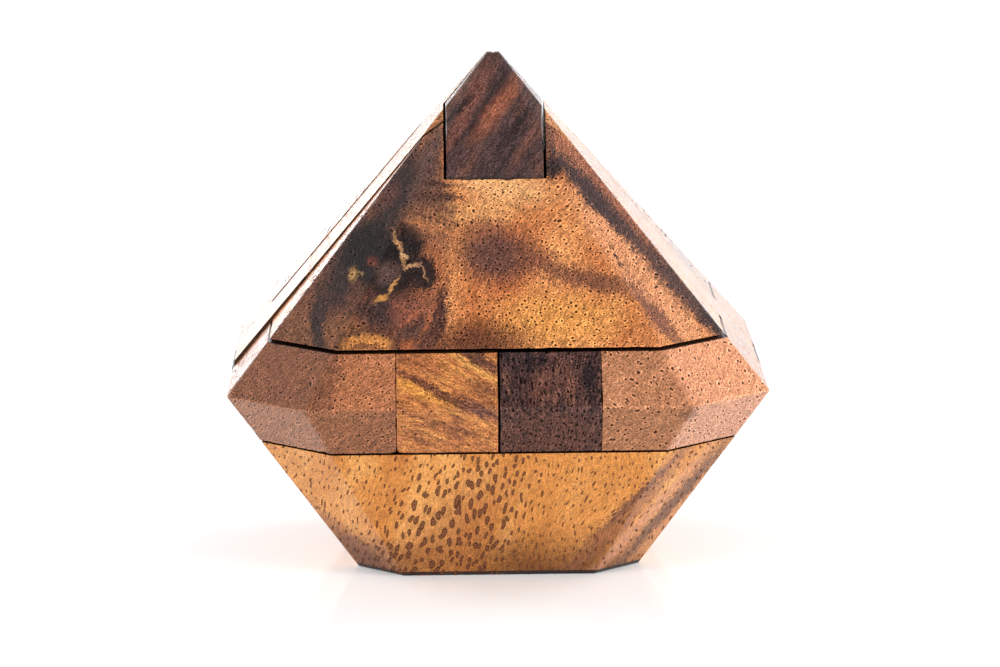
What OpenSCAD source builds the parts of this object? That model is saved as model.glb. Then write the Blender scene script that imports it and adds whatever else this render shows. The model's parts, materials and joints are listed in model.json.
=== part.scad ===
// Diamond burr: a wooden diamond cut into an interlocking burr of square sticks and filler blocks.
// Two posts stand upright, two rails run front to back and two beams run left to right, as in a
// six-piece burr. The front post is the key. Filler blocks make up the rest of the diamond.
// The diamond rests on its flat base, with its point upwards and its front facing -Y.

/* [Diamond] */
// Width across the flats at the girdle, the widest level
girdle_w = 91; // [84:1:100]
// Length of a main facet along the girdle
girdle_facet = 64; // [58:1:70]
// Width across the flats of the base
base_w = 48; // [46:1:56]
// Length of a main facet's edge at the base
base_facet = 32.5; // [30:0.5:38]
// Height of the unworn point above the girdle
crown_h = 54.7; // [52:0.1:62]
// How much of the point is worn off
tip_wear = 1.3; // [0:0.1:3]
// Depth of the base below the girdle
pavilion_h = 33; // [30:0.5:38]

/* [Sticks] */
// Width of a square stick
stick_w = 17; // [15:0.5:17.5]
// Length of the upper beam, whose ends are cut off square at the girdle
beam_l = 90; // [86:0.5:91]

/* [Fit] */
// Gap between two pieces that slide past each other
slide_gap = 0.3; // [0.1:0.05:0.5]
// Gap around the key
key_gap = 0.4; // [0.25:0.05:0.6]
// Gap between the crown and the rails, because the crown rests on the upper beam
crown_gap = 0.5; // [0.2:0.1:1]
// Gap under the key's shoulder
shoulder_gap = 0.05; // [0.05:0.05:0.2]
// Recess of the stick ends in the underside
foot_recess = 0.3; // [0.1:0.1:1]

/* [Steps] */
// How far the left fin would stand out from the front crown's left facet at the girdle
fin_step = 0.7; // [0:0.1:1]
// How far the rear crown would stand out from the front crown's left facet at the girdle
rear_step = 1; // [0:0.1:1.2]
// How far the upper beam stands out from the corner blocks' left facets at the girdle
beam_step = 0.8; // [0:0.1:1]

/* [Hidden] */
// Every seam lies on a grid with this pitch, half a stick wide, centred at the girdle
pitch = stick_w / 2;
// Half of a sliding gap belongs to the piece on each side, and the key's own side has the rest
half_gap = slide_gap / 2;
key_side = key_gap - half_gap;
// The rails and corner blocks end here, and the crown starts here
slab_top = pitch - crown_gap / 2;
crown_bottom = pitch + crown_gap / 2;
// The posts end here, just inside the underside
foot_z = foot_recess - pavilion_h;
// Further out than any facet, for a side that only the facets cut
far = girdle_w + crown_h;
through = [-far, far];

// A face on grid plane n: glued or resting, or half a gap below or above the plane
function at(n) = n * pitch;
function below(n) = n * pitch - half_gap;
function above(n) = n * pitch + half_gap;

// A bar along X with the outline of two opposite facets above the girdle and two below it
module facet_pair(girdle_half, base_half) {
    tip_half = girdle_half * tip_wear / crown_h;
    rotate([90, 0, 90])
        linear_extrude(height = 2 * far, center = true)
            polygon([
                [tip_half, crown_h - tip_wear],
                [-tip_half, crown_h - tip_wear],
                [-girdle_half, 0],
                [-base_half, -pavilion_h],
                [base_half, -pavilion_h],
                [girdle_half, 0]
            ]);
}

// The uncut diamond: four main facets and four corner facets, above and below the girdle
module diamond() {
    intersection() {
        for_both_ways() facet_pair(girdle_w / 2, base_w / 2);
        rotate(45)
            for_both_ways()
                facet_pair(
                    (girdle_w + girdle_facet) / 2 / sqrt(2),
                    (base_w + base_facet) / 2 / sqrt(2)
                );
    }
}

// Widens a diamond to the left only: by the step at the girdle, less above it, nothing at the point
module widened(step) {
    multmatrix([
        [1 + step / girdle_w, 0, step / 2 / crown_h, -step / 2],
        [0, 1, 0, 0],
        [0, 0, 1, 0]
    ])
        children();
}

// What its children and the same children turned by a quarter have in common
module for_both_ways() {
    intersection() {
        children();
        rotate(90) children();
    }
}

// Cuts its children to the facets of a diamond with this step, and stands the diamond on its base
module faceted(step = 0) {
    translate([0, 0, pavilion_h])
        intersection() {
            widened(step) diamond();
            children();
        }
}

// A block from its lowest and highest X, Y and Z
module block(x, y, z) {
    translate([x[0], y[0], z[0]])
        cube([x[1] - x[0], y[1] - y[0], z[1] - z[0]]);
}

// The shaft that the key slides in
module key_shaft() {
    block([below(-1), above(1)], [below(-2), above(0)], through);
}

// The room that a loose piece leaves for the rear post
module post_shaft() {
    block([below(-1), above(1)], [below(0), above(2)], through);
}

// The rear post's uncut stick, which is glued into the base
module post_stick() {
    block([above(-1), below(1)], [above(0), below(2)], [foot_z, far]);
}

// Front post: a plain stick that slides upwards, with a shoulder that stands on the front base
module key() {
    color("#3f2419")
        faceted()
            difference() {
                block(
                    [-pitch + key_side, pitch - key_side],
                    [-2 * pitch + key_side, -key_side],
                    [foot_z, far]
                );
                block(through, [-far, -pitch + key_side], [-far, at(-2) + shoulder_gap]);
            }
}

// Everything above the rails and in front of the beams, with a foot under the left fin
module front_crown() {
    color("#b9772f")
        faceted()
            difference() {
                union() {
                    block(through, [-far, below(-1)], [crown_bottom, far]);
                    block([above(-2), below(-1)], [at(-2), below(1)], [at(2), below(3)]);
                }
                key_shaft();
            }
}

// Glued to the front crown, with a tongue that reaches behind the key into the rear post
module right_fin() {
    color("#c58d55")
        faceted()
            union() {
                difference() {
                    block([above(1), far], [below(-1), below(1)], [at(2), far]);
                    block([0, above(2)], through, [0, above(3)]);
                }
                block([above(0), at(2)], [above(0), below(1)], [above(3), below(4)]);
            }
}

// Everything above the rails and behind the beams, with a foot under the right fin
module rear_crown() {
    color("#8f5a2b")
        faceted(rear_step)
            difference() {
                union() {
                    block(through, [above(1), far], [crown_bottom, far]);
                    block([above(1), below(2)], [above(-1), at(2)], [at(2), below(3)]);
                }
                post_shaft();
            }
}

// Glued to the rear crown, with a tongue in front of the rear post
module left_fin() {
    color("#a86c3a")
        faceted(fin_step)
            union() {
                difference() {
                    block([-far, below(-1)], [above(-1), above(1)], [at(2), far]);
                    block([below(-2), 0], through, [0, above(3)]);
                }
                block([at(-2), below(0)], [above(0), below(1)], [above(3), far]);
            }
}

// Runs left to right under the fins, and slides out sideways once the key is out
module upper_beam() {
    color("#6f4426")
        faceted(beam_step)
            difference() {
                block([-beam_l / 2, beam_l / 2], [above(-1), below(1)], [at(0), at(2)]);
                key_shaft();
            }
}

// Runs left to right under the rails, glued into the base
module lower_beam() {
    color("#7d5230")
        faceted()
            difference() {
                block(through, [above(-1), below(1)], [at(-2), at(0)]);
                key_shaft();
                for (side = [0, 1])
                    mirror([side, 0, 0])
                        block([below(1), above(2)], through, [below(-1), far]);
            }
}

// A stick that runs front to back on the left, notched for the posts and the upper beam
module rail() {
    difference() {
        block([at(-2), below(0)], through, [above(-1), slab_top]);
        key_shaft();
        post_shaft();
        block(through, [below(-1), above(1)], [below(0), far]);
    }
}

// The front left corner of the girdle, glued to the left rail
module corner() {
    block([-far, at(-2)], [-far, below(-1)], [above(-1), slab_top]);
}

module left_rail() color("#c07f3a") faceted() rail();
module left_front_corner() color("#7a4a28") faceted() corner();
module left_rear_corner() color("#8a5730") faceted() mirror([0, 1, 0]) corner();
module right_rail() color("#3a2018") faceted() mirror([1, 0, 0]) rail();
module right_front_corner() color("#9a6236") faceted() mirror([1, 0, 0]) corner();
module right_rear_corner() color("#84522c") faceted() rotate(180) corner();

// The front of the base, with a ledge under the key's shoulder
module front_base() {
    color("#c68a3e")
        faceted()
            union() {
                difference() {
                    block(through, [-far, above(-1)], [-far, below(-1)]);
                    key_shaft();
                }
                block([below(-1), above(1)], [below(-2), below(-1)], [-far, at(-2)]);
            }
}

module rear_base() {
    color("#a9713a")
        faceted()
            difference() {
                block(through, [below(1), far], [-far, below(-1)]);
                post_stick();
            }
}

// The left side of the base, between the front and the rear base and under the lower beam
module base_fin() {
    difference() {
        block([-far, above(-1)], [above(-1), below(1)], [-far, at(-2)]);
        key_shaft();
    }
}

module left_base_fin() color("#b67c42") faceted() base_fin();
module right_base_fin() color("#9c6634") faceted() mirror([1, 0, 0]) base_fin();

// Stands in the base and holds it together: its head lies over the upper beam, and the two tongues
// of the crown lie in its head
module rear_post() {
    color("#5b3520")
        faceted()
            difference() {
                post_stick();
                block(through, [-far, above(1)], [at(-2), above(2)]);
                block([below(0), far], [-far, above(1)], [below(3), above(4)]);
                block([-far, above(0)], [-far, above(1)], [below(3), far]);
            }
}

key();
front_crown();
right_fin();
rear_crown();
left_fin();
upper_beam();
left_rail();
left_front_corner();
left_rear_corner();
right_rail();
right_front_corner();
right_rear_corner();
front_base();
rear_base();
left_base_fin();
right_base_fin();
lower_beam();
rear_post();
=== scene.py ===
"""Looks of the diamond burr puzzle: worn, oiled blocks of wood in the places of the CAD blocks.

Lengths are in millimetres in the row frame, unless a comment says otherwise.
"""

import json
import math
from dataclasses import dataclass, field

import bmesh
import bpy
from mathutils import Matrix, Vector, kdtree, noise


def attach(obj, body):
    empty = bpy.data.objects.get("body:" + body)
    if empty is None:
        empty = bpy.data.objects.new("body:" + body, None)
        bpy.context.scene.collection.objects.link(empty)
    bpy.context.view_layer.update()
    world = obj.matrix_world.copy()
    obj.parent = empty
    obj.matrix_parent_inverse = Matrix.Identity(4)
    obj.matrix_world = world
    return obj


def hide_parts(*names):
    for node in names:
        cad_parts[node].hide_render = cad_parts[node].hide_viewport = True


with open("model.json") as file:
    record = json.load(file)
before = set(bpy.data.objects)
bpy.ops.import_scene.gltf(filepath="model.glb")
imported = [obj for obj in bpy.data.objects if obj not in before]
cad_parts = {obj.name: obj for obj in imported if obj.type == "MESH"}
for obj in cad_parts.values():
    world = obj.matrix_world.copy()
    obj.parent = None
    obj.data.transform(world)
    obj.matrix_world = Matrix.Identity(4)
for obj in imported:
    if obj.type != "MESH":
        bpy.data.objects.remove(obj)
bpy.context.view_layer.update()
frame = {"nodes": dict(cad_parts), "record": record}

MM = 0.001


# ---------------------------------------------------------------- shader nodes

class Nodes:
    """Short ways to add shader nodes to one node tree. Most return the new node's output."""

    def __init__(self, tree):
        self.tree = tree

    def feed(self, socket, value):
        """Links a socket to another node's output, or sets it to a plain value."""
        if isinstance(value, bpy.types.NodeSocket):
            self.tree.links.new(value, socket)
        else:
            socket.default_value = value

    def add(self, kind, *inputs, **settings):
        """Adds a node; inputs feed its first sockets in order, and settings are its attributes."""
        node = self.tree.nodes.new("ShaderNode" + kind)
        for key, value in settings.items():
            setattr(node, key, value)
        for socket, value in zip(node.inputs, inputs):
            self.feed(socket, value)
        return node

    def math(self, operation, *values):
        return self.add("Math", *values, operation=operation).outputs[0]

    def vector(self, operation, *values):
        node = self.add("VectorMath", *values, operation=operation)
        return node.outputs["Value" if operation in ("DOT_PRODUCT", "LENGTH") else "Vector"]

    def scaled(self, vector, factor):
        node = self.add("VectorMath", vector, operation="SCALE")
        self.feed(node.inputs["Scale"], factor)
        return node.outputs["Vector"]

    def join(self, x, y, z=0.0):
        return self.add("CombineXYZ", x, y, z).outputs[0]

    def xyz(self, vector):
        return self.add("SeparateXYZ", vector).outputs

    def noise(self, vector, scale=1.0, detail=2.0, rough=0.5, output="Fac"):
        node = self.add("TexNoise", vector)
        for key, value in (("Scale", scale), ("Detail", detail), ("Roughness", rough)):
            node.inputs[key].default_value = value
        return node.outputs[output]

    def ease(self, value, low, high, to_low=0.0, to_high=1.0):
        """Goes smoothly from to_low, where the value is low, to to_high, where it is high."""
        node = self.add("MapRange", interpolation_type="SMOOTHSTEP")
        for socket, each in zip(node.inputs, (value, low, high, to_low, to_high)):
            self.feed(socket, each)
        return node.outputs[0]

    def mix(self, share, a, b):
        """Colour a with a share of colour b."""
        node = self.add("Mix", data_type="RGBA")
        for index, value in ((0, share), (6, a), (7, b)):
            self.feed(node.inputs[index], value)
        return node.outputs[2]


# How many times brighter than its surface colour a front facet comes out on the screen
LIGHT_LEVEL = 1.6


def paint(red, green, blue):
    """The surface colour that looks like this 0-255 screen colour in the studio's light."""
    def linear(c):
        c = c / 255
        return c / 12.92 if c <= 0.04045 else ((c + 0.055) / 1.055) ** 2.4
    return (*(linear(c) / LIGHT_LEVEL for c in (red, green, blue)), 1)


COAL = paint(46, 36, 35)


# ---------------------------------------------------------------- camera, table and lights

CAMERA_AT = (-9.6, -850, 195.7)
# In degrees. A negative roll turns the camera clockwise.
TURN_RIGHT, LOOK_DOWN, ROLL = 0.7, 10.56, -0.51
FOCAL_LENGTH = 179.6
SENSOR_WIDTH = 36.0

TABLE_COLOUR = (0.87, 0.92, 0.95, 1)
TABLE_REACH = 6000

HORIZON_LEVEL = 1.35
ZENITH_LEVEL = 0.5
SOFT_BOX_SIZE = 420
LAMP_SIZE = 500
LAMP_SPREAD = 70


def place(name, data, at, look_at=None):
    """Links a new object and turns its -Z axis towards look_at."""
    obj = bpy.data.objects.new(name, data)
    bpy.context.scene.collection.objects.link(obj)
    obj.location = Vector(at) * MM
    if look_at is not None:
        direction = (Vector(look_at) - Vector(at)).normalized()
        obj.rotation_euler = direction.to_track_quat("-Z", "Y").to_euler()
    return obj


def add_camera():
    """A long lens in front of the puzzle, turned a little right and looking slightly down."""
    data = bpy.data.cameras.new("camera")
    data.lens = FOCAL_LENGTH
    data.sensor_width = SENSOR_WIDTH
    data.clip_end = 20.0
    camera = place("camera", data, CAMERA_AT)
    turn_right, look_down, roll = (math.radians(a) for a in (TURN_RIGHT, LOOK_DOWN, ROLL))
    camera.rotation_mode = "QUATERNION"
    turn = Matrix.Rotation(-turn_right, 3, "Z") @ Matrix.Rotation(math.pi / 2 - look_down, 3, "X")
    camera.rotation_quaternion = (turn @ Matrix.Rotation(roll, 3, "Z")).to_quaternion()
    bpy.context.scene.camera = camera


def add_area_light(name, at, size, watts, look_at=(0, 0, 35), spread=180):
    """A round soft box. The spread, in degrees, narrows its beam."""
    data = bpy.data.lights.new(name, "AREA")
    data.shape = "DISK"
    data.size = size * MM
    data.energy = watts
    data.spread = math.radians(spread)
    place(name, data, at, look_at)


def add_table():
    """A white tabletop with a faint gloss."""
    mesh = bpy.data.meshes.new("table_top")
    corners = [Vector((x, y, 0)) * TABLE_REACH * MM for x, y in ((-1, -1), (1, -1), (1, 1), (-1, 1))]
    mesh.from_pydata(corners, [], [(0, 1, 2, 3)])
    material = bpy.data.materials.new("white_table")
    material.use_nodes = True
    shader = material.node_tree.nodes["Principled BSDF"]
    shader.inputs["Base Color"].default_value = TABLE_COLOUR
    shader.inputs["Roughness"].default_value = 0.1
    shader.inputs["IOR"].default_value = 1.13
    shader.inputs["Emission Color"].default_value = (1, 1, 1, 1)
    shader.inputs["Emission Strength"].default_value = 0.12
    mesh.materials.append(material)
    place("table_top", mesh, (0, 0, 0))


def add_studio():
    """Even white light from all round, dimmer overhead, with soft boxes at the four corners."""
    world = bpy.data.worlds.new("white_studio")
    bpy.context.scene.world = world
    world.use_nodes = True
    g = Nodes(world.node_tree)
    height = g.xyz(g.add("TexCoord").outputs["Generated"])[2]
    background = world.node_tree.nodes["Background"]
    background.inputs["Color"].default_value = (1, 1, 1, 1)
    g.feed(background.inputs["Strength"], g.ease(height, 0.15, 0.9, HORIZON_LEVEL, ZENITH_LEVEL))
    add_area_light("left_soft_box", (-800, -500, 160), SOFT_BOX_SIZE, 7)
    add_area_light("right_soft_box", (800, -450, 160), SOFT_BOX_SIZE, 9)
    add_area_light("rear_left_soft_box", (-800, 550, 300), SOFT_BOX_SIZE, 4)
    add_area_light("rear_right_soft_box", (800, 550, 300), SOFT_BOX_SIZE, 4)
    # These light only the table behind the puzzle, which the side facets mirror at a grazing angle
    for name, x, watts in (("left_table_lamp", -480, 220), ("right_table_lamp", 480, 22)):
        add_area_light(name, (x, 1250, 700), LAMP_SIZE, watts, (x, 1250, 0), LAMP_SPREAD)


# ---------------------------------------------------------------- wood material

@dataclass
class Blot:
    """A soft-edged patch of another colour: an ellipse as seen from the front, in X and Z.

    Its size is its half width and half height, and its tilt is in degrees. With above=33 only
    the part over a height of 33 mm is there, and with above=-33 only the part under it.
    """
    at: tuple
    size: tuple
    colour: tuple
    strength: float = 1.0
    soft: float = 0.5
    tilt: float = 0.0
    above: float = 0.0


# A streak is a little longer than its ends say, because the ends fade out
STREAK_OVERRUN = 1.15


def streak(start, end, half_width, colour, strength=1.0, soft=0.5):
    """A long thin blot from start to end."""
    (x0, z0), (x1, z1) = start, end
    half_length = math.hypot(x1 - x0, z1 - z0) / 2
    tilt = math.atan2(z1 - z0, x1 - x0)
    middle = ((x0 + x1) / 2, (z0 + z1) / 2)
    size = (half_length * STREAK_OVERRUN, half_width)
    return Blot(middle, size, colour, strength, soft, math.degrees(tilt))


@dataclass
class Pores:
    """Vessels along the grain: their spacing, radius and length, and the rim's radius in radii.

    A share of the places has one. In cross section they are tall times as high as they are wide.
    With a centre colour they also have a black core. Outside the swell, a blot, they shrink.
    """
    spacing: float = 1.25
    radius: float = 0.17
    length: float = 6.0
    rim: float = 2.3
    rim_strength: float = 0.45
    hole_strength: float = 0.9
    hole: tuple = paint(48, 28, 20)
    share: float = 1.0
    tall: float = 1.0
    centre: tuple = None
    swell: Blot = None
    shrink: float = 0.45


@dataclass
class Wood:
    """How the wood of one slot looks. Grain runs along the fibres, across goes through the bands.

    Speckle and fibre are strengths, wobble moves the blots' edges, and seam_shade_level is how bright
    the painted shade leaves the faces inside the seams.
    """
    dark: tuple
    middle: tuple
    light: tuple
    grain: tuple = (0, 1, 0.1)
    across: tuple = (1, 0, 0.4)
    band_width: float = 5.0
    band_bend: float = 3.0
    speckle: float = 0.55
    fibre: float = 0.35
    pores: Pores = field(default_factory=Pores)
    blots: tuple = ()
    wobble: float = 1.0
    # Painted shade: the faces inside the seams keep only this share of their colour
    seam_shade_level: float = 0.12


HALVES = (0.5, 0.5, 0.5)
# Moves every wood to its own part of the noise
SEED_SHIFT = (37.0, 53.0, 71.0)
# How fast the bands change across them, along them and along the fibres, per band width
BAND_SQUEEZE = (1, 0.3, 0.08)
# How fast the fibres change in the same three directions, per mm
FIBRE_PITCH = (3.2, 0.8, 0.2)
# How far fibres and speckle move the edges of blots
FRAY_FIBRE = 0.6
FRAY_SPECKLE = 2.4
# The fray moves the edge of a blot thinner than this as if it were this thick
MIN_FRAY_SIZE = 1.2
# Smallest and largest radius of a vessel, as shares of the radius that the wood gives
VESSEL_SHARES = (0.75, 1.2)
# On the ridge between a side facet and a front corner facet, -Y is this share of |X|
RIDGE_SLOPE = 0.69
BUMP_STRENGTH = 0.7
BUMP_HEIGHT = 0.08
WOOD_IOR = 1.4
# How bright the rims of vessels and the rubbed arrises are, as shares of the colour there
RIM_LEVEL = 1.9
RUBBED_LEVEL = 1.5


def grain_axes(wood):
    """Unit vectors across the bands, along the bands across the fibres, and along the fibres."""
    along = Vector(wood.grain).normalized()
    across = Vector(wood.across)
    across = (across - along * across.dot(along)).normalized()
    return across, along.cross(across), along


def wood_bands(g, wood, place_mm):
    """The position along the three axes, gently bent, and the strength of the growth bands there."""
    bend = g.vector("SUBTRACT", g.noise(place_mm, 0.05, 1, output="Color"), HALVES)
    bent = g.vector("ADD", place_mm, g.scaled(bend, wood.band_bend * 2))
    u, v, w = (g.vector("DOT_PRODUCT", bent, tuple(axis)) for axis in grain_axes(wood))
    pitch = wood.band_width
    shares = zip((u, v, w), BAND_SQUEEZE)
    stretched = g.join(*(g.math("MULTIPLY", axis, share / pitch) for axis, share in shares))
    return (u, v, w), g.noise(stretched, 1, 3, 0.6)


def blot_share(g, blot, page, fray=0.0):
    """The strength of a blot at each place on the page. The fray moves its edge, in mm."""
    turn = (0, 0, math.radians(blot.tilt))
    spot = g.add("Mapping", page, blot.at + (0,), turn, blot.size + (1,), vector_type="TEXTURE")
    fray_scale = 1 / max(min(blot.size), MIN_FRAY_SIZE)
    distance = g.math("MULTIPLY_ADD", fray, fray_scale, g.vector("LENGTH", spot.outputs[0]))
    return g.ease(distance, max(0.0, 1 - blot.soft), 1 + blot.soft, blot.strength, 0)


def wood_pores(g, pores, page, u, v, w):
    """Strengths of the vessel holes, their centres and cores, and the pale rims around them."""
    # Each cell of a pattern across the grain is one vessel
    shift = g.noise(g.join(u, v, w), 0.4, 1, output="Color")
    cell = g.scaled(g.join(u, g.math("DIVIDE", v, pores.tall)), 1 / pores.spacing)
    cell = g.vector("ADD", cell, g.scaled(shift, 0.8))
    voronoi = g.add("TexVoronoi", cell, voronoi_dimensions="2D", feature="F1")
    voronoi.inputs["Scale"].default_value = 1
    voronoi.inputs["Randomness"].default_value = 0.75
    red, green, blue = g.add("SeparateColor", voronoi.outputs["Color"]).outputs
    # It tapers towards its ends along the grain, unless it is tall. Its start and radius vary.
    phase = g.math("MULTIPLY_ADD", w, 1 / pores.length, g.math("MULTIPLY", red, 9))
    from_middle = g.math("MULTIPLY_ADD", g.math("FRACT", phase), 2, -1)
    taper = 1
    if pores.tall <= 1:
        taper = g.math("SUBTRACT", 1, g.math("MULTIPLY", from_middle, from_middle))
    smallest, largest = VESSEL_SHARES
    radius = g.math("MULTIPLY_ADD", blue, largest - smallest, smallest)
    radius = g.math("MULTIPLY", radius, g.math("SQRT", taper))
    radius = g.math("MULTIPLY", radius, pores.radius / pores.spacing)
    if pores.swell:
        swollen = g.ease(blot_share(g, pores.swell, page), 0, 1, pores.shrink, 1)
        radius = g.math("MULTIPLY", radius, swollen)
    present = g.math("LESS_THAN", green, pores.share)
    ratio = g.math("DIVIDE", voronoi.outputs["Distance"], g.math("MAXIMUM", radius, 0.01))
    hole = g.math("MULTIPLY", g.ease(ratio, 0.75, 1.1, 1, 0), present)
    centre = g.ease(ratio, 0.4, 0.65, 1, 0)
    core = g.math("MULTIPLY", g.ease(ratio, 0.12, 0.3, 1, 0), present)
    rim = g.math("MULTIPLY", g.ease(ratio, 1.3, pores.rim, 1, 0), present)
    return hole, centre, core, rim


def painted(g, wood, colour, here, page, fray):
    """The colour with the wood's blots on it, which on some woods hold painted light and shade, except
    behind the ridge beside each side facet.
    """
    x, y, z = g.xyz(here)
    behind_ridge = g.math("MULTIPLY_ADD", g.math("ABSOLUTE", x), RIDGE_SLOPE, y)
    in_front = g.ease(behind_ridge, -0.3, 1.2, 1, 0)
    for blot in wood.blots:
        share = g.math("MULTIPLY", blot_share(g, blot, page, fray), in_front)
        if blot.above:
            side = "GREATER_THAN" if blot.above > 0 else "LESS_THAN"
            share = g.math("MULTIPLY", share, g.math(side, z, abs(blot.above)))
        colour = g.mix(share, colour, blot.colour)
    return colour


def wobbled_page(g, wood, here, place_mm):
    """X and Z, moved by coarse and fine noise, so that the blots have uneven edges."""
    x, _, z = g.xyz(here)
    coarse = g.vector("SUBTRACT", g.noise(place_mm, 0.22, 2, output="Color"), HALVES)
    fine = g.vector("SUBTRACT", g.noise(place_mm, 1.1, 2, output="Color"), HALVES)
    wobble = g.vector("ADD", g.scaled(coarse, 1.8 * wood.wobble), g.scaled(fine, 1.5 * wood.wobble))
    return g.vector("MULTIPLY", g.vector("ADD", g.join(x, z), wobble), (1, 1, 0))


def with_pores(g, wood, colour, page, axes):
    """The colour with the vessels and their pale rims on it, and the strength of the vessels."""
    pores = wood.pores
    hole, centre, core, rim = wood_pores(g, pores, page, *axes)
    rim = g.math("MULTIPLY", rim, pores.rim_strength)
    colour = g.mix(rim, colour, g.scaled(colour, RIM_LEVEL))
    hole = g.math("MULTIPLY", hole, pores.hole_strength)
    if not pores.centre:
        return g.mix(hole, colour, pores.hole), hole
    lens = g.mix(centre, pores.hole, pores.centre)
    return g.mix(hole, colour, g.mix(core, lens, COAL)), hole


def rubbed_and_seam_shaded(g, wood, colour, place_mm):
    """The colour, rubbed paler along the arrises, with painted shade in and beside the seams."""
    wear = g.add("Attribute", attribute_name="wear").outputs["Fac"]
    rubbed = g.math("MULTIPLY", wear, g.ease(g.noise(place_mm, 0.8, 2), 0.45, 0.6, 0, 0.45))
    colour = g.mix(rubbed, colour, g.scaled(colour, RUBBED_LEVEL))
    # Painted shade: the faces in and beside the seams are darkened
    inner = g.add("Attribute", attribute_name="inner").outputs["Fac"]
    return g.mix(inner, colour, g.scaled(colour, wood.seam_shade_level))


def oil(material, g, colour, hole, fibre, speckle):
    """Sets the wood's shader: an oiled gloss and fine relief, both broken by the vessels."""
    shader = material.node_tree.nodes["Principled BSDF"]
    g.feed(shader.inputs["Base Color"], colour)
    roughness = g.math("MULTIPLY_ADD", hole, 0.3, g.ease(speckle, 0.3, 0.7, 0.16, 0.28))
    g.feed(shader.inputs["Roughness"], roughness)
    shader.inputs["IOR"].default_value = WOOD_IOR
    g.feed(shader.inputs["Specular IOR Level"], g.math("MULTIPLY_ADD", hole, -0.24, 0.25))
    grit_height = g.math("MULTIPLY", speckle, 0.35)
    relief = g.math("SUBTRACT", g.math("MULTIPLY_ADD", fibre, 0.5, grit_height), hole)
    bump = g.add("Bump")
    bump.inputs["Strength"].default_value = BUMP_STRENGTH
    bump.inputs["Distance"].default_value = BUMP_HEIGHT * MM
    g.feed(bump.inputs["Height"], relief)
    g.feed(shader.inputs["Normal"], bump.outputs[0])


def wood_material(name, wood, seed):
    """Oiled wood with growth bands, fibres, vessels and painted figure."""
    material = bpy.data.materials.new(name)
    material.use_nodes = True
    g = Nodes(material.node_tree)
    here = g.scaled(g.add("TexCoord").outputs["Object"], 1 / MM)
    place_mm = g.vector("ADD", here, tuple(seed * shift for shift in SEED_SHIFT))
    axes, bands = wood_bands(g, wood, place_mm)
    strands = g.join(*(g.math("MULTIPLY", axis, pitch) for axis, pitch in zip(axes, FIBRE_PITCH)))
    fibre = g.noise(strands, 1, 3, 0.65)
    speckle = g.noise(place_mm, 3.8, 2, 0.8)
    page = wobbled_page(g, wood, here, place_mm)
    fray = g.math("MULTIPLY_ADD", speckle, FRAY_SPECKLE, -(FRAY_FIBRE + FRAY_SPECKLE) / 2)
    fray = g.math("MULTIPLY_ADD", fibre, FRAY_FIBRE, fray)

    lower = g.mix(g.ease(bands, 0.3, 0.5), wood.dark, wood.middle)
    colour = g.mix(g.ease(bands, 0.48, 0.7), lower, wood.light)
    colour = painted(g, wood, colour, here, page, fray)
    grime = g.ease(fibre, 0.3, 0.7, 1 - wood.fibre, 1 + wood.fibre * 0.6)
    grit = g.ease(speckle, 0.34, 0.66, 1 - wood.speckle, 1 + wood.speckle)
    colour = g.scaled(colour, g.math("MULTIPLY", grime, grit))
    colour, hole = with_pores(g, wood, colour, page, axes)
    oil(material, g, rubbed_and_seam_shaded(g, wood, colour, place_mm), hole, fibre, speckle)
    return material


# ---------------------------------------------------------------- the woods

# Height of the widest edge, between the facets that slope in above it and below it
GIRDLE = 33

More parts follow.
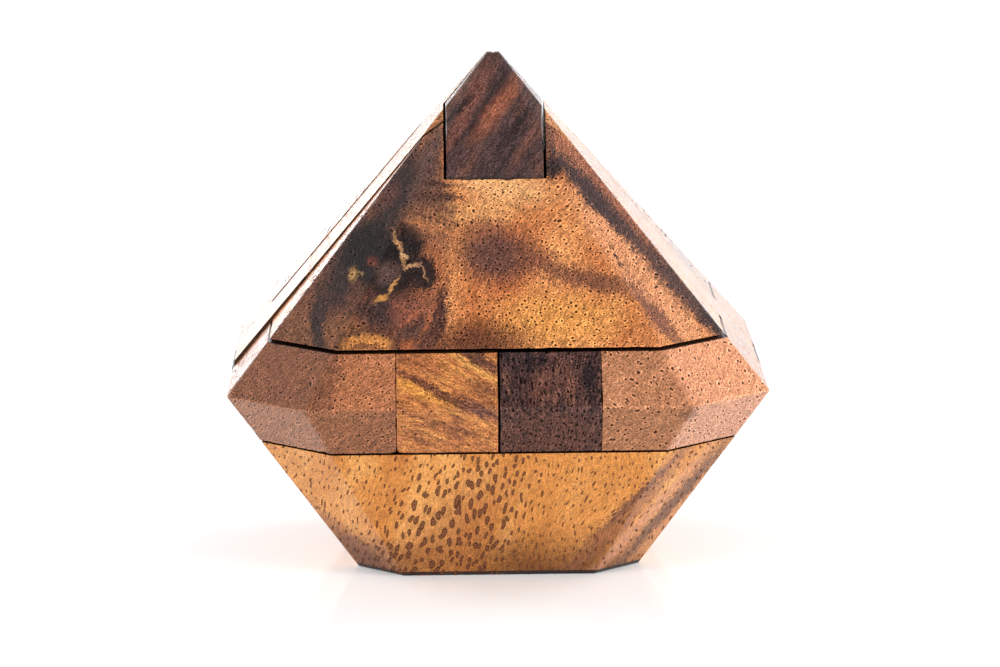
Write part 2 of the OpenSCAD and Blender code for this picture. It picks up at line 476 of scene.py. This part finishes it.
# X and Z in mm on the front. A later blot lies over an earlier one.
CROWN_BLOTS = (
    # The dark left side, and the black knot with brown rings in it
    Blot((-60.5, 50), (51.5, 80), paint(112, 68, 52), 0.96, 0.05),
    Blot((-11.5, 62), (4.4, 7), paint(104, 74, 62), 0.85, 0.35),
    Blot((-11, 53), (3, 5), paint(180, 108, 70), 0.75, 0.5),
    Blot((-10.5, 46), (2.2, 4.5), paint(140, 88, 66), 0.8, 0.5),
    streak((-14, 70), (-19.5, 59), 2.3, paint(54, 42, 42), 0.95),
    streak((-18.5, 61), (-29, 48), 3, paint(52, 41, 40), 0.95),
    Blot((-18, 64), (1.2, 2.5), paint(112, 68, 58), 0.6, 0.7, -40),
    Blot((-19.4, 54.6), (7, 4.8), paint(36, 28, 28), 1, 0.35, -25),
    Blot((-14.6, 57.6), (2.2, 2.8), paint(38, 30, 32), 0.95, 0.3, 20),
    Blot((-12.3, 53), (2.2, 2.8), paint(38, 30, 32), 0.95, 0.25, 15),
    Blot((-18.2, 53), (2.2, 1.7), paint(104, 78, 72), 0.8, 0.6, 20),
    Blot((-20.9, 54.5), (1, 0.9), paint(122, 60, 46), 0.8, 0.5),
    Blot((-18.8, 47.5), (5, 2.6), paint(66, 50, 48), 0.9, 0.5),
    Blot((-15.2, 47.3), (2.6, 2.4), paint(142, 84, 66), 0.8, 0.6, 40),
    Blot((-14, 43.8), (2.4, 1.8), paint(92, 66, 58), 0.8, 0.6),
    streak((-8.8, 50.5), (-11.2, 42), 0.8, paint(70, 48, 46), 0.9),
    Blot((-33, 43.6), (3.6, 3.4), paint(130, 84, 60), 0.95, 0.4),
    Blot((-25.6, 44), (3.6, 2.6), paint(134, 86, 58), 0.95, 0.4),
    streak((-29.6, 48.5), (-30, 41.5), 1.2, paint(60, 46, 44), 0.95, 0.4),
    Blot((-21.9, 42), (5, 2.7), paint(84, 56, 46), 0.9, 0.25),
    Blot((-21.9, 41.9), (4.4, 2.1), paint(214, 140, 74), 0.95, 0.2),
    Blot((-22.1, 41.5), (3.5, 1.5), paint(136, 84, 56), 0.95, 0.2),
    Blot((-22, 41.4), (2, 0.7), paint(213, 138, 82), 0.9, 0.3),
    Blot((-14.9, 42.3), (1.2, 1), paint(178, 98, 58), 0.8, 0.5),
    # Pale cracks through the knot, and the yellow spot to its left
    streak((-17.2, 59), (-15.6, 56), 0.34, paint(186, 136, 94), 0.9, 0.4),
    Blot((-15.4, 55.6), (0.7, 0.45), paint(208, 160, 114), 1, 0.4),
    streak((-15.6, 55.6), (-15.3, 53.8), 0.36, paint(190, 140, 98), 0.9, 0.4),
    streak((-15.3, 53.9), (-12.9, 54.2), 0.36, paint(200, 148, 104), 0.9, 0.4),
    streak((-12.6, 54), (-11.8, 52), 0.22, paint(190, 138, 102), 0.7, 0.4),
    Blot((-24.1, 52.2), (0.6, 1.1), paint(184, 138, 84), 0.85, 0.6, 10),
    Blot((-22.8, 52.6), (0.6, 0.3), paint(170, 130, 88), 0.7, 0.6),
    streak((-20.4, 49.1), (-18, 50), 0.5, paint(214, 150, 80), 0.9, 0.4),
    streak((-18.2, 49.8), (-16.3, 52.4), 0.3, paint(206, 146, 88), 0.9, 0.4),
    # The bright middle, and the round brown spot with its tail to the right
    Blot((1.5, 66), (8, 2.6), paint(246, 182, 122), 0.8, 0.7, -8),
    Blot((-2, 62), (6, 2), paint(240, 178, 116), 0.5, 0.7),
    Blot((-0.2, 55.8), (6.6, 3.9), paint(98, 66, 60), 0.9, 0.6, -8),
    Blot((-2.5, 59.5), (3.5, 1.4), paint(150, 92, 66), 0.7, 0.6),
    streak((4, 55.8), (12, 52.6), 1.6, paint(132, 80, 60), 0.8, 0.7),
    streak((10, 53), (23, 50.2), 1.6, paint(124, 78, 60), 0.85, 0.6),
    Blot((10, 46), (10, 3.6), paint(230, 158, 76), 0.6, 0.7),
    Blot((-3.5, 43), (8, 2.6), paint(100, 58, 40), 0.9, 0.7),
    # Fibres that curl round the knot
    Blot((-10.4, 60), (3.6, 2), paint(204, 132, 86), 0.6, 0.9, -20),
    Blot((-10.6, 70.5), (2, 5.5), paint(100, 72, 64), 0.95, 0.5, -18),
    streak((-12, 66.6), (-6.4, 66), 0.45, paint(84, 56, 50), 0.85, 0.6),
    streak((-13, 65), (-5.6, 64), 0.5, paint(92, 60, 50), 0.85, 0.6),
    streak((-12, 62.8), (-7, 62.4), 0.4, paint(120, 76, 58), 0.8, 0.6),
    streak((-13, 58), (-8.4, 58.6), 0.35, paint(130, 82, 60), 0.7, 0.6),
    streak((-14.4, 60.8), (-10.4, 59.6), 0.3, paint(196, 124, 80), 0.8, 0.5),
    streak((-13.6, 61.8), (-9.6, 60.6), 0.25, paint(84, 56, 48), 0.8, 0.5),
    streak((-10, 59.8), (-6.8, 58.6), 0.3, paint(206, 130, 82), 0.8, 0.5),
    streak((-9.6, 61.4), (-6.6, 60.2), 0.25, paint(116, 72, 56), 0.75, 0.5),
    streak((-12, 42.5), (-9, 50), 0.4, paint(98, 58, 48), 0.85, 0.5),
    streak((-13, 43), (-10.2, 49.4), 0.25, paint(176, 98, 64), 0.75, 0.5),
    streak((-10.4, 42.2), (-8.6, 47.4), 0.3, paint(76, 48, 42), 0.85, 0.5),
    streak((-16, 45.6), (-12.4, 48), 0.35, paint(180, 104, 72), 0.75, 0.5),
    streak((-15, 44), (-12.6, 46), 0.3, paint(72, 48, 44), 0.8, 0.5),
    streak((-17.4, 48.8), (-14.6, 47.2), 0.3, paint(156, 92, 68), 0.7, 0.5),
    # The dark stripe down the right side, with pale wood under it
    streak((13.5, 64), (34.5, 40), 2.4, paint(236, 160, 112), 0.85, 0.4),
    streak((22.6, 50.6), (30.5, 41.4), 1, paint(124, 78, 64), 0.85, 0.5),
    streak((9, 74.8), (25, 56), 1.9, paint(160, 100, 76), 0.95, 0.4),
    streak((9, 76), (9.4, 68), 1.5, paint(124, 78, 60), 0.95, 0.4),
    streak((8.2, 68.4), (11.6, 69), 1.9, paint(60, 46, 46), 1, 0.5),
    streak((10, 70.8), (24, 55.8), 1.3, paint(72, 54, 54), 0.98, 0.45),
    streak((22.4, 58.2), (38.8, 41.2), 1.6, paint(82, 60, 58), 0.95, 0.6),
    streak((33.6, 45.6), (39, 41), 1.1, paint(56, 44, 46), 0.9, 0.5),
    streak((19, 56.4), (21.1, 52.6), 0.12, COAL, 0.9, 0.4),
)

KEY_BLOTS = (
    streak((-8.5, 71), (-1.2, 84), 1.5, paint(134, 84, 72), 0.8, 0.6),
    streak((-8.4, 75), (-3.4, 80.4), 0.7, paint(46, 36, 38), 0.85, 0.6),
    streak((-6, 72.4), (1.6, 81), 0.7, paint(54, 40, 42), 0.8, 0.6),
    streak((-2.8, 74), (4.2, 82.2), 1.3, paint(162, 96, 72), 0.9, 0.6),
    streak((0, 70.4), (6, 78), 0.8, paint(54, 42, 44), 0.8, 0.6),
    streak((3, 68.8), (8, 76.2), 0.8, paint(126, 82, 70), 0.7, 0.6),
    streak((-8, 78), (-4, 82.6), 0.5, paint(130, 96, 82), 0.7, 0.5),
)

LEFT_RAIL_BLOTS = (
    Blot((-13.5, 40.2), (4, 2), paint(176, 106, 66), 0.8, 0.6, -20),
    streak((-17, 37.2), (-7, 33.6), 0.9, paint(238, 160, 78), 0.9, 0.5),
    streak((-9, 42), (0, 36.9), 0.6, paint(240, 168, 92), 0.9, 0.4),
    streak((-7, 42), (0.3, 38.6), 0.9, paint(92, 58, 50), 0.9, 0.5),
    streak((-17, 38.7), (-9.2, 35.4), 0.5, paint(116, 68, 50), 0.9, 0.4),
    streak((-12, 36.2), (-4, 32.8), 0.75, paint(112, 66, 50), 0.9, 0.4),
    streak((-6, 34), (0.5, 31.4), 1.1, paint(120, 76, 62), 0.9, 0.5),
    Blot((-3, 36), (2.6, 1.3), paint(140, 88, 62), 0.7, 0.6, -30),
    streak((-17, 33), (-1.5, 27.2), 0.5, paint(150, 92, 58), 0.8, 0.5),
    streak((-10, 33.4), (0, 29.6), 0.4, paint(226, 150, 82), 0.8, 0.5),
    streak((-17, 30), (-8, 26.4), 0.5, paint(168, 104, 66), 0.7, 0.5),
)

RIGHT_RAIL_BLOTS = (
    streak((2, 41), (4.5, 36), 0.8, paint(58, 42, 42), 0.7, 0.6),
    Blot((6, 39.6), (2.8, 1.6), paint(42, 31, 35), 0.85, 0.6),
    Blot((7.2, 36.2), (3, 1.7), paint(124, 78, 64), 0.7, 0.7, 50),
    streak((10.4, 40), (12, 34.4), 1.3, paint(120, 77, 64), 0.7, 0.6),
    Blot((15, 37.4), (1.5, 3), paint(42, 31, 35), 0.85, 0.5),
    Blot((8.5, 28), (10, 5), paint(102, 63, 50), 0.8, 0.4, above=-GIRDLE),
)

# The left corner's facets: flat tones fitted to each facet, partly the wood's colour and partly painted
# light and shade
CORNER_LEFT_TONES_AND_PAINTED_LIGHT = (
    Blot((-41, 39), (14.4, 16), paint(138, 88, 64), 0.95, 0.1, -24),
    Blot((-20, 28.5), (20, 10), paint(152, 98, 68), 0.9, 0.2, above=-GIRDLE),
    Blot((-37.2, 25.4), (8, 14), paint(170, 116, 88), 0.95, 0.08, 25.7, above=-GIRDLE),
)

# The right corner's facets: flat tones fitted to each facet, partly the wood's colour and partly painted
# light, brighter on the facets that face right and down; and one small brown spot
CORNER_RIGHT_TONES_AND_PAINTED_LIGHT = (
    Blot((36.4, 41), (8, 14), paint(244, 166, 123), 0.9, 0.1, 30.5, above=GIRDLE),
    Blot((20, 28.5), (20, 10), paint(176, 118, 82), 0.85, 0.2, above=-GIRDLE),
    Blot((37.2, 25.4), (8, 14), paint(220, 157, 124), 0.95, 0.08, -25.7, above=-GIRDLE),
    Blot((31.2, 31.6), (1.6, 1.2), paint(130, 84, 60), 0.6, 0.6),
)

BASE_BLOTS = (
    streak((-30, 8.5), (-18, -1.5), 2.2, paint(112, 70, 50), 0.85, 0.7),
    streak((-31, 12), (-20, 0), 1.2, paint(170, 108, 70), 0.6, 0.6),
    Blot((-8, 8), (14, 6), paint(176, 106, 58), 0.6, 0.8, 50),
    Blot((-22, 2.6), (9, 4), paint(118, 68, 40), 0.72, 0.8),
    Blot((10, 1.6), (15, 6), paint(108, 60, 26), 0.88, 0.8),
    Blot((14, 12), (5, 9), paint(232, 156, 84), 0.5, 0.7, -35),
    streak((28, 19), (11, 0), 1.6, paint(152, 96, 66), 0.75, 0.6),
    streak((31, 24.4), (18, 10), 0.9, paint(132, 84, 66), 0.85, 0.5),
    streak((35.4, 22.6), (16.6, 1), 1.2, paint(222, 154, 112), 0.8, 0.5),
    streak((38, 22.8), (21, 1.6), 1.3, paint(104, 70, 62), 0.85, 0.5),
    streak((38.6, 20.6), (24, 2.5), 0.7, paint(214, 146, 104), 0.7, 0.5),
    # The shadow line where the underside meets the table
    Blot((0, 0), (60, 6), COAL, 0.95, 0.1, above=-0.8),
)

DENSE = Pores(spacing=1.02, radius=0.19, length=8.0, rim=2.0, rim_strength=0.5, hole=paint(26, 14, 10))
CLOSE = Pores(spacing=1.06, radius=0.225, length=8.0, rim=2.1, rim_strength=0.6, hole=paint(30, 16, 10))
FINE = Pores(spacing=0.9, radius=0.1, length=7.0, rim_strength=0.25)

WOODS = {
    "wood_front_crown": Wood(
        paint(188, 108, 63), paint(211, 131, 79), paint(238, 159, 98),
        grain=(-0.3, 1, -0.4), across=(0.87, 0, -0.5), band_width=7,
        speckle=0.5, fibre=0.5, pores=CLOSE, blots=CROWN_BLOTS,
    ),
    "wood_key": Wood(
        paint(66, 50, 50), paint(84, 62, 60), paint(112, 76, 66),
        grain=(0.2, 1, 0.3), across=(0.82, 0, -0.57), band_width=3,
        speckle=0.65, fibre=0.5, pores=FINE, blots=KEY_BLOTS, seam_shade_level=0.7,
    ),
    "wood_left_rail": Wood(
        paint(150, 92, 62), paint(200, 124, 72), paint(232, 158, 86),
        across=(0.42, 0, 1), band_width=1.8, fibre=0.5,
        pores=Pores(spacing=1.5, radius=0.2, length=3.0, rim_strength=0.1, share=0.35),
        blots=LEFT_RAIL_BLOTS, wobble=0.5,
    ),
    "wood_right_rail": Wood(
        paint(46, 34, 35), paint(80, 54, 50), paint(126, 84, 70),
        across=(1, 0, -0.15), band_width=1.2, speckle=0.85, fibre=0.7,
        pores=Pores(spacing=0.95, radius=0.19, rim_strength=0.2, hole=paint(20, 12, 12), tall=1.6),
        blots=RIGHT_RAIL_BLOTS,
    ),
    "wood_left_corner": Wood(
        paint(160, 100, 68), paint(178, 112, 76), paint(194, 124, 84),
        grain=(0.4, 1, 0), across=(0.77, 0, -0.64), band_width=6, fibre=0.42,
        pores=Pores(spacing=0.95, radius=0.18, rim_strength=0.55, hole=paint(26, 14, 10)),
        blots=CORNER_LEFT_TONES_AND_PAINTED_LIGHT,
    ),
    "wood_right_corner": Wood(
        paint(176, 116, 82), paint(190, 128, 92), paint(206, 142, 102),
        grain=(-0.4, 1, 0), across=(0.7, 0, -0.7), band_width=6,
        pores=Pores(spacing=1.25, radius=0.24, share=0.85, hole=paint(26, 14, 10)),
        blots=CORNER_RIGHT_TONES_AND_PAINTED_LIGHT,
    ),
    "wood_front_base": Wood(
        paint(204, 124, 58), paint(228, 149, 74), paint(250, 178, 102),
        grain=(0.05, 1, 0.05), across=(0.966, 0, -0.26), band_width=7, speckle=0.28, fibre=0.3,
        pores=Pores(
            spacing=1.08, radius=0.36, rim_strength=0, hole=paint(76, 43, 34), centre=paint(142, 88, 62),
            tall=2.5, swell=Blot((-9, 8.5), (18, 10), None, soft=0.6, tilt=58), shrink=0.46,
        ),
        blots=BASE_BLOTS,
    ),
    "wood_rear_base": Wood(
        paint(150, 92, 58), paint(190, 122, 74), paint(214, 146, 90), grain=(0.1, 0.2, 1),
    ),
    "wood_base_fin": Wood(
        paint(160, 100, 62), paint(200, 130, 80), paint(222, 152, 96),
        grain=(1, 0.1, 0.2), across=(0, 1, 0.3),
    ),
    "wood_lower_beam": Wood(
        paint(92, 62, 50), paint(120, 80, 58), paint(150, 100, 70),
        grain=(1, 0, 0.1), across=(0, 0.4, 1), band_width=2.5, pores=FINE,
    ),
    "wood_upper_beam": Wood(
        paint(156, 100, 66), paint(196, 132, 88), paint(222, 160, 112),
        grain=(1, 0.1, 0), across=(0, 0.3, 1), band_width=2.2, pores=FINE,
    ),
    "wood_rear_crown": Wood(
        paint(120, 76, 54), paint(176, 112, 70), paint(208, 140, 86),
        grain=(0.2, 1, 0.1), across=(1, 0, 0.9), band_width=6, pores=DENSE,
    ),
    "wood_left_fin": Wood(
        paint(146, 92, 60), paint(190, 124, 78), paint(216, 150, 96),
        grain=(1, 0, 0.1), across=(0, 1, 0.5), band_width=5, pores=DENSE,
    ),
    "wood_right_fin": Wood(
        paint(170, 110, 76), paint(206, 142, 98), paint(228, 168, 120),
        grain=(1, 0.1, 0), across=(0, 1, -0.4), band_width=5, pores=DENSE,
    ),
    "wood_rear_post": Wood(
        paint(84, 58, 50), paint(112, 76, 60), paint(146, 98, 70),
        grain=(0.1, 0.1, 1), across=(1, 0.5, 0), band_width=3, pores=FINE,
    ),
}


# ---------------------------------------------------------------- worn blocks

MERGE_DISTANCE = 0.002
FLAT_ANGLE = math.radians(0.5)

# How far a worn arris reaches into each face, and how often its width changes along it
BEVEL = 0.32
STEP = 1.3
# Shares of that width inside the puzzle, along a seam, and between two outer faces
HIDDEN_SHARE, SEAM_SHARE, OPEN_SHARE = 0.55, 0.75, 1.0
# The seams on the side facets are sharper
SIDE_SEAM_SHARE = 0.25
# A chip is where the noise is more than the rarity
CHIP_SEED = Vector((11.3, 4.7, 8.9))
CHIP_PITCH, CHIP_RARITY, CHIP_DEPTH = 0.47, 0.34, 5

# Above this height a level face is the worn tip, and below the other the underside
TIP_HEIGHT = 86.0
UNDERSIDE_HEIGHT = 1
# Limits on the upright share of the normals of level faces and of facets
LEVEL = 0.99
FACET_SLOPES = (0.3, 0.95)
SIDEWAYS = 0.7
# Faces whose normals have a larger dot product than this lie the same way
SAME_WAY = 0.9998


def outer_face(face):
    """True for a face on the diamond's outside: a facet, the underside or the worn tip."""
    upward = abs(face.normal.z)
    height = face.calc_center_median().z / MM
    if upward > LEVEL:
        return height < UNDERSIDE_HEIGHT or height > TIP_HEIGHT
    return FACET_SLOPES[0] < upward < FACET_SLOPES[1]


def side_facet(face):
    """True for a part of the four facets that slope away to the left and right."""
    return abs(face.normal.x) > SIDEWAYS and abs(face.normal.z) > FACET_SLOPES[0]


def edge_share(edge, outside):
    """The share of the full width that this edge's arris has. Outside says which faces are outer."""
    share = (HIDDEN_SHARE, SEAM_SHARE, OPEN_SHARE)[sum(outside[f.index] for f in edge.link_faces)]
    if share == SEAM_SHARE and any(side_facet(f) for f in edge.link_faces):
        return SIDE_SEAM_SHARE
    return share


def split_edge(edge, pieces):
    """Cuts a straight edge into equal pieces."""
    start, end = edge.verts
    while pieces > 1:
        _, new = bmesh.utils.edge_split(edge, start, 1 / pieces)
        start = new
        edge = next(e for e in new.link_edges if end in e.verts)
        pieces -= 1


def split_edges(bm, share_layer):
    """Cuts every edge into steps, and keeps at each vertex the least share of its edges."""
    outside = {face.index: outer_face(face) for face in bm.faces}
    for edge in list(bm.edges):
        share = edge_share(edge, outside)
        for v in edge.verts:
            v[share_layer] = share if v[share_layer] == 0 else min(share, v[share_layer])
        count_before = len(bm.verts)
        split_edge(edge, max(1, round(edge.calc_length() / MM / STEP)))
        bm.verts.ensure_lookup_table()
        for v in bm.verts[count_before:]:
            v[share_layer] = share


def arris_width(point, share):
    """How wide the worn arris is here, in units of BEVEL, with a chip now and then."""
    p = point / MM + CHIP_SEED
    slow = noise.noise(p * 0.13)
    quick = noise.noise(p * 0.9)
    chip = max(0.0, noise.noise(p * CHIP_PITCH + CHIP_SEED) - CHIP_RARITY) * CHIP_DEPTH
    return share * (1 + 0.35 * slow + 0.3 * quick) + chip


def arris_widths(bm, share_layer):
    """The points along the sharp edges with the arris's width at each, and a search tree of them."""
    tree = kdtree.KDTree(len(bm.verts))
    points = []
    for i, v in enumerate(bm.verts):
        tree.insert(v.co.copy(), i)
        points.append((v.co.copy(), arris_width(v.co, v[share_layer])))
    tree.balance()
    return points, tree


def wear_vertices(bm, points, tree, arris_faces, wear_layer):
    """Gives the bevel its uneven width, not below the table, and marks where it is rubbed."""
    for v in bm.verts:
        _, i, _ = tree.find(v.co)
        corner, width = points[i]
        v.co = corner + (v.co - corner) * width
        v.co.z = max(0.0, v.co.z)
        v[wear_layer] = float(all(f in arris_faces for f in v.link_faces))


def mark_seams(bm, arris_faces, inner_layer):
    """Smooths the arrises, and marks the faces in and beside the seams, where shade is painted."""
    seam_faces = {f for f in bm.faces if f not in arris_faces and not outer_face(f)}
    for f in bm.faces:
        f.smooth = f in arris_faces
        beside_seam = f in arris_faces and any(n in seam_faces for e in f.edges for n in e.link_faces)
        f[inner_layer] = float(f in seam_faces or beside_seam)


def worn_block(name):
    """A copy of a CAD block whose arrises are rounded, uneven and here and there chipped."""
    bm = bmesh.new()
    bm.from_mesh(frame["nodes"][name].data)
    bmesh.ops.remove_doubles(bm, verts=bm.verts, dist=MERGE_DISTANCE * MM)
    bmesh.ops.dissolve_limit(
        bm, angle_limit=FLAT_ANGLE, verts=bm.verts, edges=bm.edges, use_dissolve_boundaries=False
    )
    bm.normal_update()
    share_layer, wear_layer = (bm.verts.layers.float.new(key) for key in ("share", "wear"))
    inner_layer = bm.faces.layers.float.new("inner")
    flat_normals = [face.normal.copy() for face in bm.faces]
    split_edges(bm, share_layer)
    points, tree = arris_widths(bm, share_layer)
    bmesh.ops.bevel(
        bm, geom=bm.edges[:], offset=BEVEL * MM, offset_type="OFFSET", segments=2, profile=0.5,
        affect="EDGES", clamp_overlap=True,
    )
    bm.normal_update()
    arris_faces = {f for f in bm.faces if all(f.normal.dot(n) < SAME_WAY for n in flat_normals)}
    wear_vertices(bm, points, tree, arris_faces, wear_layer)
    mark_seams(bm, arris_faces, inner_layer)
    mesh = bpy.data.meshes.new(name + "_wood")
    bm.to_mesh(mesh)
    bm.free()
    return place(name + "_wood", mesh, (0, 0, 0))


def dress_blocks():
    """Puts a worn block in its own wood in the place of every CAD node."""
    record = frame["record"]
    body_of = {node: body for body, nodes in record["behaviour"]["bodies"].items() for node in nodes}
    materials = {}
    for number, part in enumerate(record["subparts"]):
        node, slot = part["node"], part["material_slot"]
        if slot not in materials:
            materials[slot] = wood_material(slot, WOODS[slot], number)
        block = worn_block(node)
        block.data.materials.append(materials[slot])
        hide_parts(node)
        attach(block, body_of[node])


bpy.context.scene.view_settings.view_transform = "Standard"
add_camera()
add_table()
add_studio()
dress_blocks()
